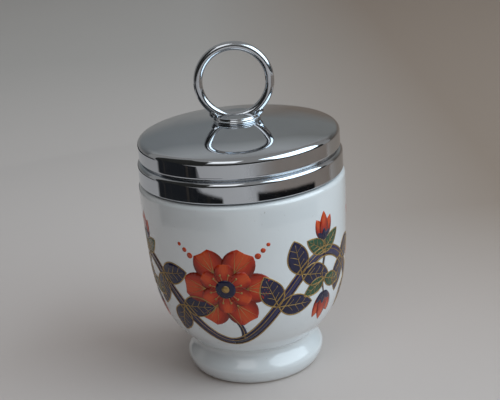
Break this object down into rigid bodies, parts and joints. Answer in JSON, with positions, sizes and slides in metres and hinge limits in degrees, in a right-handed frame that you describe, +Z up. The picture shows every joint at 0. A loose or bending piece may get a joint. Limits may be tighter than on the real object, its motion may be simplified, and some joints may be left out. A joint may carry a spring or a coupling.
{
  "type": "egg coddler",
  "caption": "Footed porcelain cup with a screw-on domed metal lid and a wire lift ring, for cooking an egg in hot water.",
  "frame": {"origin": "middle of the foot's resting face", "axes": "+Z up along the cup's axis; the lift ring stands in the XZ plane"},
  "size_m": [0.0628, 0.0628, 0.1021],
  "materials": {
    "porcelain": "white glazed porcelain with a fired-on coloured flower band",
    "bright_chrome": "polished chrome plate",
    "tinned_steel": "plain plated steel",
    "seal_rubber": "pale silicone rubber"
  },
  "bodies": {
    "cup": {"cup": "porcelain"},
    "seal": {"lid_seal": "seal_rubber"},
    "lid": {"lid_shell": "bright_chrome", "thread_liner": "tinned_steel", "ring_boss": "bright_chrome", "lift_ring": "bright_chrome", "ring_solder": "bright_chrome", "rivet_washer": "tinned_steel"}
  },
  "joints": [
    {"name": "lid_rise", "type": "slide", "parent": "cup", "child": "seal", "axis": [0, 0, 1], "range_m": [0, 0.032]},
    {"name": "lid_turn", "type": "hinge", "parent": "seal", "child": "lid", "pos_m": [0, 0, 0.0723], "axis": [0, 0, 1], "range_deg": [0, 1440]}
  ],
  "couplings": [
    {"joint": "lid_rise", "follows": "lid_turn", "m_per_rad": 0.0012732}
  ]
}
